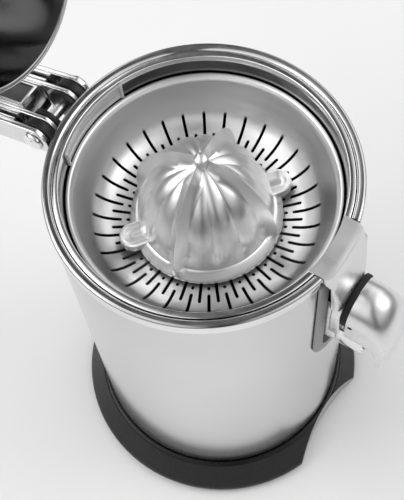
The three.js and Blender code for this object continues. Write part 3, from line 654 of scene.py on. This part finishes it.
# ---- nose ----
def hood(count):
    """Pairs round an upright arch: how far sideways, up to one, and how far from its foot to its crown."""
    leg = NOSE_TOP - NOSE_HALF - NOSE_FOOT
    tall = NOSE_TOP - NOSE_FOOT
    outline = [(1.0, 0.0), (1.0, leg / tall * 0.5)]
    outline += [(c, (leg + NOSE_HALF * s) / tall) for c, s in arc(0, 0, 1.0, 0, 180, 40)]
    outline += [(-1.0, leg / tall * 0.5), (-1.0, 0.0)]
    points = np.array(outline)
    lengths = np.linalg.norm(np.diff(points * (NOSE_HALF, tall), axis=0), axis=1)
    travelled = np.concatenate([[0.0], np.cumsum(lengths)])
    spots = np.linspace(0, travelled[-1], count)
    return list(zip(np.interp(spots, travelled, points[:, 0]), np.interp(spots, travelled, points[:, 1])))


def arch_section(half, foot):
    return [(half, foot)] + arc(0, NOSE_TOP - NOSE_HALF, half, 0, 180, 48) + [(-half, foot)]


NOSE_FOOT = 230.0


def nose_cowl():
    crown = smooth_path([
        (-102.7, NOSE_TOP), (-108, 264.1), (-114, 263.4), (-120.5, 260.0), (-126, 254), (-129.6, 246),
        (-130.9, 236), (-131, 226), (-130.9, 215), (-130.2, 207.5), (-128.2, 204.2),
    ], 72)
    legs = smooth_path([
        (-102.7, NOSE_FOOT), (-106, 230), (-110, 230), (-114, 229.8), (-118, 229.2), (-121.4, 227.5),
        (-123.6, 223), (-124.3, 217), (-124.6, 211), (-124.9, 207), (-125, 205.0),
    ], 72)
    rows = []
    for i, (top, leg) in enumerate(zip(crown, legs)):
        narrow = 2.0 * max(0.0, i / (len(crown) - 1) - 0.72) / 0.28
        rows.append([
            ((NOSE_HALF - narrow) * side,
             leg[0] + (top[0] - leg[0]) * ahead,
             leg[1] + (top[1] - leg[1]) * ahead)
            for side, ahead in hood(65)
        ])
    made = solidified(grid("nose_cowl", rows), 1.6)
    made = bevelled(made, 0.45, 3, 50)
    finish_piece(made, "spout", "nose", ["spout_nose"], 40)


def nose_seal():
    inner = [(-13, 246)] + arc(0, 248, 13, 180, 0, 48) + [(13, 246)]
    made = bevelled(prism("nose_seal", arch_section(17, 246) + inner, -102.4, -99.1, "Y"), 0.5, 3, 50)
    finish_piece(made, "rubber", "collector", ["spout_seal"], 40)


# ---- strainer ----
def stadium(start, end, half, steps=8):
    return arc(end, 0, half, -90, 90, steps) + arc(start, 0, half, 90, 270, steps)


def strainer_dish():
    """A smooth bowl with a hub, a flat edge and three rings of slots."""
    path = smooth_path([
        (76.4, 285.1), (74.7, 282.4), (73.0, 276.4), (70.2, 268.0), (66.4, 260.6), (61.0, 255.6),
        (54.0, 252.8), (40.0, 250.6), (26.0, 249.2), (12.6, HUB_Z - 0.3),
    ], 60)
    upper = [(78.4, 284.4), (78.4, 285.5), (77.4, 285.5)] + [tuple(p) for p in path]
    lower = []
    wall = 1.1
    for before, here, after in zip(path[:-2], path[1:-1], path[2:]):
        run, rise = (after - before) / np.linalg.norm(after - before)
        lower.append((here[0] - rise * wall, here[1] + run * wall))
    hub = [(10.2, HUB_Z - 0.4), (10.2, HUB_Z - 10), (12.6, HUB_Z - 10)]
    made = lathe("strainer_dish", upper + hub + lower[::-1], 288)
    slots = []
    count = 32
    half = 0.95
    for i in range(count):
        for start, end, turn in ((50.5, 67.0, 0.0), (41.5, 56.5, 0.5), (45.6, 47.9, 0.0)):
            slot = prism("slot", stadium(start + half, end - half, half), 240, 275, "Z")
            slot.data.transform(Matrix.Rotation(2 * math.pi * (i + turn) / count, 4, "Z"))
            slots.append(slot)
    made = cut(made, joined("slots", slots))
    finish_piece(made, "satin", "strainer_body", ["strainer"], 40)


# ---- cone ----
FINS = 4
LOBES = 3


def cone_rows(around):
    """Rows of the cone's outside, from the skirt's foot up to the tip."""
    body = [
        (44.4, 0.0), (45.0, 0.5), (45.0, 2.2), (44.5, 3.0), (43.1, 4.7), (41.7, 6.4), (41.0, 7.2),
        (40.0, 7.6),
    ]
    fin = [
        (44.4, 0.0), (45.0, 0.5), (45.0, 2.8), (44.9, 3.8), (44.8, 5.2), (44.7, 6.8), (44.6, 8.2),
        (44.4, 9.2),
    ]
    skirt = len(body)
    steps = 96
    for i in range(1, steps + 1):
        a = math.pi / 2 * (i / steps) ** 0.92
        body.append((39.6 * math.cos(a), 7.9 + 51.0 * math.sin(a) ** 1.02))
        fin.append((44.4 * math.cos(a) ** 0.94, 9.2 + 56.6 * math.sin(a) ** 1.08))
    sector = 360.0 / FINS
    margin = 8.0
    rows = []
    for k, ((body_r, body_z), (fin_r, fin_z)) in enumerate(zip(body, fin)):
        up = max(0.0, (k - skirt) / steps)
        depth = 2.6 * min(1.0, max(0.0, k - skirt) / 9.0) * (1 - up) ** 0.7
        reach = min(6.0, 0.62 * max(body_r, 0.6) * math.radians(sector / 2))
        row = []
        for j in range(around):
            angle = 360.0 * j / around
            off = angle % sector
            distance = math.radians(min(off, sector - off)) * max(body_r, 0.6)
            weight = max(0.0, 1 - distance / reach) ** 1.8
            lobe = 0.0
            if margin < off < sector - margin:
                lobe = math.sin(math.pi * ((off - margin) / (sector - 2 * margin) * LOBES % 1.0)) ** 0.75
            r = max(0.0, body_r - depth * (1 - lobe) * (1 - weight))
            row.append((r * (1 - weight) + fin_r * weight,
                        CONE_BASE + body_z * (1 - weight) + fin_z * weight, angle + FIN_ANGLE))
        rows.append(row)
    return rows


def turned(rows):
    """Rows of (radius, height, degrees) as rows of points."""
    return [
        [(r * math.cos(math.radians(a)), r * math.sin(math.radians(a)), z) for r, z, a in row] for row in rows
    ]


def ear(angle):
    """A rounded lug on the skirt, with a dimple in its top."""
    heights = [
        (0.0, 3.2), (0.0, 7.6), (0.4, 8.9), (1.2, 9.8), (2.2, 10.1), (3.2, 9.6), (4.2, 8.6), (5.6, 8.0),
        (7.9, 7.9),
    ]
    rows = []
    for inward, height in smooth_path(heights, 48):
        rows.append([(x, y, CONE_BASE + height) for x, y in stadium(37.0, 45.5, max(0.1, 8.0 - inward), 32)])
    under = [(x, y, CONE_BASE + 3.2) for x, y in stadium(37.0, 45.5, 0.1, 32)]
    made = grid("ear", [under] + rows, wrap=True)
    made.data.transform(Matrix.Rotation(math.radians(angle), 4, "Z"))
    return made


def reamer_cone():
    around = 720
    hollow = [(40.0, 0.0), (38.0, 8.0), (33.0, 22.0), (24.0, 38.0), (12.0, 48.0), (0.0, 52.0)]
    turns = [math.radians(360.0 * j / around + FIN_ANGLE) for j in range(around)]
    inside = [[(r * math.cos(a), r * math.sin(a), CONE_BASE + z) for a in turns] for r, z in hollow]
    parts = [grid("cone_shell", inside[::-1] + turned(cone_rows(around)), wrap=True)]
    knob = [(0, 57), (4.4, 59), (4.7, 63.2), (3.9, 65.6), (2.0, 66.8), (0, 67.0)]
    parts.append(lathe("knob", [(r, CONE_BASE + z) for r, z in rounded(knob, 1.2, 4)], 48))
    boss = [(8.6, 0.5), (11.6, 0.5), (11.6, 48), (8.6, 48)]
    parts.append(lathe("boss", [(r, CONE_BASE + z) for r, z in boss], 64))
    parts += [ear(angle) for angle in EAR_ANGLES]
    made = joined("reamer_cone", parts)
    finish_piece(made, "cone", "cone_body", ["cone"], 50)


# ---- hinge and arm ----
def along(path, below, above):
    left, right = [], []
    for i, p in enumerate(path):
        before, after = path[max(i - 1, 0)], path[min(i + 1, len(path) - 1)]
        dy, dz = after[0] - before[0], after[1] - before[1]
        size = math.hypot(dy, dz)
        dy, dz = dy / size, dz / size
        left.append((p[0] - dz * above, p[1] + dy * above))
        right.append((p[0] + dz * below, p[1] - dy * below))
    return right + left[::-1]


def arm_path(end, foot=HINGE_Z):
    return ([(HINGE_Y, foot), (HINGE_Y, BEAM_Z - BEND_R - 20)]
            + arc(HINGE_Y - BEND_R, BEAM_Z - BEND_R, BEND_R, 0, 90, 24) + [(end, BEAM_Z)])


def arm_plate(low, high, end):
    """A plate of the arm, round about the hinge, up the column and along the beam."""
    path = arm_path(end)
    outline = along(path, COLUMN_HALF, COLUMN_HALF)
    half = len(path)
    right, left = outline[:half], outline[half:]
    knuckle = arc(HINGE_Y, HINGE_Z, 10.0, 180 + 26, 360 - 26, 24)
    outline = knuckle + right[1:] + left[:-1]
    return bevelled(prism("plate", outline, low, high, "X"), 0.7, 3, 40)


def press_arm():
    """The arm's plates, lugs and end block in metal, and a black web between the plates: black plastic that
    also paints the deep shade of the gaps.
    """
    parts = []
    for side in (-1, 1):
        for inner, outer, end in ((19.0, 22.5, BEAM_FRONT), (9.5, 12.5, 20.0)):
            low, high = span(side, inner, outer)
            parts.append(arm_plate(low, high, end))
        low, high = span(side, 6.8, 11)
        lug = [(-8, BEAM_Z + 6)] + arc(0, DOME_PIVOT_Z, 7, 180, 360, 20) + [(8, BEAM_Z + 6)]
        parts.append(bevelled(prism("lug", lug, low, high, "X"), 0.6, 3, 40))
        for inner, outer, end in ((17.0, 19.2, BEAM_FRONT + 1), (8.2, 9.7, 20.0), (12.3, 14.6, 20.0)):
            low, high = span(side, inner, outer)
            wide = prism("wide", along(arm_path(end, HINGE_Z + 15), COLUMN_HALF - 0.1, COLUMN_HALF - 0.1),
                         low, high, "X")
            parts.append(bevelled(wide, 0.4, 2, 40))
    # The black web is partly black plastic and partly painted shade for the deep gaps between the plates.
    path = arm_path(BEAM_FRONT + 0.6, HINGE_Z + 16)
    back = prism("back", along(path, COLUMN_HALF - 0.2, -5), -21.6, 21.6, "X")
    finish_piece(bevelled(back, 0.5, 2, 40), "black", "arm", [], 40, OPEN_ARM)
    low, high = BEAM_Z - COLUMN_HALF, BEAM_Z + COLUMN_HALF
    block = prism("block", [(BEAM_FRONT, low), (-24, low), (-24, high), (BEAM_FRONT, high)], -22.5, 22.5, "X")
    parts.append(bevelled(block, 1.2, 4, 40))
    made = joined("arm_casting", parts)
    finish_piece(made, "arm", "arm", ["press_arm"], 40, OPEN_ARM)


def upright(half, low, high, radius):
    """A rounded rectangle about the middle line, in (x, z)."""
    return rounded([(-half, low), (half, low), (half, high), (-half, high)], radius, 3)


def arm_inlay():
    """A dark recessed panel in a light frame, with a bright strip at its hinge end."""
    low, high = HINGE_Z + 17.0, BEAM_Z - BEND_R - 2.0
    face = HINGE_Y - COLUMN_HALF
    frame_outer = prism("inlay_frame", upright(7.9, low, high, 0.8), face, HINGE_Y + 4, "Y")
    hollow = prism("inlay_hollow", upright(6.5, low + 3, high - 2, 0.6), face - 2, face + 3, "Y")
    outer = bevelled(cut(frame_outer, hollow), 0.3, 2, 50)
    finish_piece(outer, "arm", "arm", ["arm_inlay"], 40, OPEN_ARM)
    panel = prism("inlay_panel", upright(6.4, low + 3.1, high - 2.1, 0.5), face + 0.8, face + 3.2, "Y")
    panel = bevelled(panel, 0.3, 2, 50)
    finish_piece(panel, "inlay", "arm", [], 40, OPEN_ARM)


def hinge_caps():
    for side, name in ((-1, "left"), (1, "right")):
        outline = [
            (0, 22.85), (6.5, 22.85), (6.6, 23.4), (6.1, 24.6), (5.2, 25.2), (4.2, 24.9), (3.6, 25.0),
            (2.6, 25.7), (0, 25.8),
        ]
        made = lathe(f"hinge_cap_{name}_round", rounded(outline, 0.5, 3), 64)
        turn = Matrix.Rotation(math.radians(90 * side), 4, "Y")
        shift = Matrix.Translation((0, HINGE_Y * MM, HINGE_Z * MM))
        finish_piece(made, "cast", "arm", [f"hinge_cap_{name}"], 40, OPEN_ARM @ shift @ turn)


def hinge_bracket():
    """The black bracket behind the rim, with rounded knuckles between the arm's plates."""
    parts = []
    for inner, outer in ((6.0, 9.0), (13.0, 18.5)):
        for side in (-1, 1):
            low, high = span(side, inner, outer)
            outline = ([(HINGE_Y - 14, HINGE_Z - 26), (HINGE_Y - 4, HINGE_Z - 18)]
                       + arc(HINGE_Y, HINGE_Z, 10, -50, 130, 32) + [(HINGE_Y - 12.2, HINGE_Z + 4)])
            parts.append(bevelled(prism("knuckle", outline, low, high, "X"), 0.6, 3, 40))
    foot = prism("foot", [(80, HINGE_Z - 26), (91.6, HINGE_Z - 26), (91.6, HINGE_Z + 4), (80, HINGE_Z + 4)],
                 -22, 22, "X")
    foot = cut(foot, lathe("drum_cutter", [(0, 200), (89.35, 200), (89.35, 320), (0, 320)], 256))
    parts.append(bevelled(foot, 0.5, 2, 40))
    made = joined("hinge_mount", parts)
    finish_piece(made, "black", "root", ["hinge_bracket"], 40)


def grip():
    rows = []
    stations = [
        # y, half width, top, bottom
        (-62.35, 21.2, 387.4, 370.6), (-62.9, 22.0, 387.8, 370.2), (-70, 22.0, 387.6, 369.6),
        (-80, 22.0, 386.9, 368.2), (-92, 22.0, 385.9, 366.8), (-102, 22.0, 384.4, 365.6),
        (-110, 22.0, 382.6, 364.8), (-116, 21.6, 380.8, 364.6), (-120, 20.6, 379.0, 365.2),
        (-123, 18.6, 377.0, 366.6), (-125, 15.6, 374.8, 368.6), (-126, 11.0, 372.8, 370.6),
    ]
    spots = np.array(stations)
    fine = smooth_path(spots, 64)
    for y, half, top, bottom in fine:
        middle, tall = (top + bottom) / 2, (top - bottom) / 2
        row = []
        for a in np.linspace(0, 360, 72, endpoint=False):
            c, s = math.cos(math.radians(a)), math.sin(math.radians(a))
            sideways = half * math.copysign(abs(c) ** 0.5, c)
            row.append((sideways, y, middle + tall * math.copysign(abs(s) ** 0.62, s)))
        rows.append(row)
    made = grid("soft_grip", rows, wrap=True, close_ends=True)
    finish_piece(made, "rubber", "arm", ["handle_grip"], 40, OPEN_ARM)


# ---- dome ----
def dome():
    def profile(radius, depth, steps=40):
        points = []
        for i in range(steps + 1):
            a = math.pi / 2 * i / steps
            across = radius * math.cos(a) ** 0.85 if i < steps else 0.0
            points.append((across, DOME_RIM_Z + depth * math.sin(a)))
        return points
    outer = profile(58.3, 81.0)[2:]
    inner = profile(56.3, 79.0)[::-1][:-2]
    lip = [
        (56.2, 272.0), (56.2, 270.4), (56.6, 270.0), (58.9, 270.0), (59.5, 270.5), (59.5, 273.4),
        (59.0, 274.0),
    ]
    made = lathe("pressing_dome", outer + inner + lip, 224)
    # The dome shell uses the darker copy of the polished steel: a painted dark reflection.
    finish_piece(made, "dome", "dome", ["dome_shell"], 40, OPEN_ARM)
    hub = [(0, 351.4), (14.4, 351.4), (15, 352), (14.8, 354), (13.6, 354.7), (0, 354.8)]
    boss = lathe("hub_plate", rounded(hub, 0.4, 3), 64)
    tab = prism("tab", [(-9, 352.4), (9, 352.4)] + arc(0, DOME_PIVOT_Z, 5.4, 0, 180, 24), -6.2, 6.2, "X")
    made = joined("dome_mount", [boss, bevelled(tab, 0.5, 3, 40)])
    finish_piece(made, "black", "dome", ["dome_hub"], 40, OPEN_ARM)


# ---- studio ----
def ramp_of(tree, value, stops):
    """A smooth grey ramp through [position, level] stops."""
    ramp = tree.nodes.new("ShaderNodeValToRGB")
    ramp.color_ramp.interpolation = "EASE"
    elements = ramp.color_ramp.elements
    elements.remove(elements[1])
    elements[0].position = stops[0][0]
    elements[0].color = (*grey(stops[0][1]), 1)
    for position, level in stops[1:]:
        elements.new(position).color = (*grey(level), 1)
    tree.links.new(value, ramp.inputs["Fac"])
    return ramp.outputs["Color"]


def floor():
    """A plain pale floor."""
    mesh = bpy.data.meshes.new("floor")
    size = 4.0
    low = -0.0031
    corners = [(-size, -size, low), (size, -size, low), (size, size, low), (-size, size, low)]
    mesh.from_pydata(corners, [], [(0, 1, 2, 3)])
    made = plain_object("floor", mesh)
    n = Nodes("floor_white")
    n.join(n.blend(n.noise((1, 1, 1), 2.0), grey(0.78), grey(0.8)), n.shader.inputs["Base Color"])
    n.shader.inputs["Roughness"].default_value = 0.9
    mesh.materials.append(n.material)


def area_light(name, place, target, size, power):
    data = bpy.data.lights.new(name, "AREA")
    data.shape = "RECTANGLE"
    data.size, data.size_y = size
    data.energy = power
    made = bpy.data.objects.new(name, data)
    bpy.context.scene.collection.objects.link(made)
    made.location = place
    made.rotation_euler = (Vector(target) - Vector(place)).to_track_quat("-Z", "Y").to_euler()
    return made


SIDE_LIGHTS = [
    # position from the left of the object to its right, and the brightness there
    (0.0, 0.9), (0.2, 1.5), (0.4, 1.35), (0.47, 0.14), (0.55, 0.07), (0.62, 0.85), (0.8, 1.3), (1.0, 0.7),
]


def studio():
    """A bright side to the left and right and a dim horizon, so that polished metal shows dark bands."""
    world = bpy.data.worlds.new("studio")
    bpy.context.scene.world = world
    world.use_nodes = True
    tree = world.node_tree
    background = tree.nodes["Background"]
    place = tree.nodes.new("ShaderNodeTexCoord")
    split = tree.nodes.new("ShaderNodeSeparateXYZ")
    tree.links.new(place.outputs["Generated"], split.inputs["Vector"])
    height = tree.nodes.new("ShaderNodeMapRange")
    height.inputs["From Min"].default_value = -1.0
    height.inputs["From Max"].default_value = 1.0
    tree.links.new(split.outputs["Z"], height.inputs["Value"])
    sky = ramp_of(tree, height.outputs["Result"],
                  [(0.0, 0.6), (0.5, 0.12), (0.6, 0.26), (0.7, 0.8), (0.82, 1.15), (1.0, 1.2)])
    patches = tree.nodes.new("ShaderNodeTexNoise")
    patches.inputs["Scale"].default_value = 1.5
    patches.inputs["Detail"].default_value = 0.0
    upright = tree.nodes.new("ShaderNodeMapping")
    upright.inputs["Scale"].default_value = (1, 1, 0.35)
    tree.links.new(place.outputs["Generated"], upright.inputs["Vector"])
    tree.links.new(upright.outputs["Vector"], patches.inputs["Vector"])
    soften = tree.nodes.new("ShaderNodeMapRange")
    soften.inputs["From Min"].default_value = 0.42
    soften.inputs["From Max"].default_value = 0.56
    soften.inputs["To Min"].default_value = 0.6
    soften.inputs["To Max"].default_value = 1.15
    tree.links.new(patches.outputs["Fac"], soften.inputs["Value"])
    across = tree.nodes.new("ShaderNodeVectorMath")
    across.operation = "DOT_PRODUCT"
    to_right = math.radians(CAMERA_AZIMUTH + 90)
    across.inputs[1].default_value = (math.cos(to_right), math.sin(to_right), 0)
    tree.links.new(place.outputs["Generated"], across.inputs[0])
    share = tree.nodes.new("ShaderNodeMapRange")
    share.inputs["From Min"].default_value = -1.0
    share.inputs["From Max"].default_value = 1.0
    tree.links.new(across.outputs["Value"], share.inputs["Value"])
    sides = tree.nodes.new("ShaderNodeVectorMath")
    sides.operation = "MULTIPLY"
    tree.links.new(sky, sides.inputs[0])
    tree.links.new(ramp_of(tree, share.outputs["Result"], SIDE_LIGHTS), sides.inputs[1])
    mixed = tree.nodes.new("ShaderNodeVectorMath")
    mixed.operation = "MULTIPLY"
    tree.links.new(sides.outputs["Vector"], mixed.inputs[0])
    tree.links.new(soften.outputs["Result"], mixed.inputs[1])
    ray = tree.nodes.new("ShaderNodeLightPath")
    choice = tree.nodes.new("ShaderNodeMix")
    choice.data_type = "RGBA"
    tree.links.new(ray.outputs["Is Camera Ray"], choice.inputs["Factor"])
    tree.links.new(mixed.outputs["Vector"], choice.inputs["A"])
    choice.inputs["B"].default_value = (1, 1, 1, 1)
    tree.links.new(choice.outputs["Result"], background.inputs["Color"])
    area_light("key", (-1.0, 1.25, 1.6), (0, 0, 0.2), (1.0, 1.0), 10)
    area_light("fill", (1.0, -1.3, 1.5), (0, 0, 0.2), (1.0, 1.0), 7)


FOCAL_PIXELS = 1077.3
FRAME_LONG_SIDE = 500.0
SENSOR = 36.0
CAMERA_AZIMUTH = -142.0
CAMERA_RADIUS = 293.3
CAMERA_HEIGHT = 817.95
CAMERA_PAN = -0.0184
CAMERA_TILT = 1.1236
CAMERA_ROLL = -0.1243


def camera():
    data = bpy.data.cameras.new("camera")
    data.sensor_width = SENSOR
    data.lens = FOCAL_PIXELS / FRAME_LONG_SIDE * SENSOR
    data.clip_start, data.clip_end = 0.01, 50
    made = bpy.data.objects.new("camera", data)
    bpy.context.scene.collection.objects.link(made)
    bpy.context.scene.camera = made
    ahead = Vector((
        math.sin(CAMERA_PAN) * math.cos(CAMERA_TILT), math.cos(CAMERA_PAN) * math.cos(CAMERA_TILT),
        -math.sin(CAMERA_TILT),
    ))
    right = ahead.cross(Vector((0, 0, 1))).normalized()
    up = right.cross(ahead)
    c, s = math.cos(CAMERA_ROLL), math.sin(CAMERA_ROLL)
    x_axis, y_axis = right * c + up * s, up * c - right * s
    pose = Matrix((
        (x_axis.x, y_axis.x, -ahead.x, 0), (x_axis.y, y_axis.y, -ahead.y, -CAMERA_RADIUS * MM),
        (x_axis.z, y_axis.z, -ahead.z, CAMERA_HEIGHT * MM), (0, 0, 0, 1),
    ))
    made.matrix_world = Matrix.Rotation(math.radians(CAMERA_AZIMUTH + 90), 4, "Z") @ pose


dress_cad_nodes()
body_shell()
rim_ring()
slot_trim()
base_ring()
feet()
cord_gland()
bowl()
neck_cover()
trough()
well_window()
nose_cowl()
nose_seal()
strainer_dish()
reamer_cone()
press_arm()
arm_inlay()
hinge_caps()
hinge_bracket()
grip()
dome()
floor()
studio()
camera()
bpy.context.scene.view_settings.view_transform = "Standard"
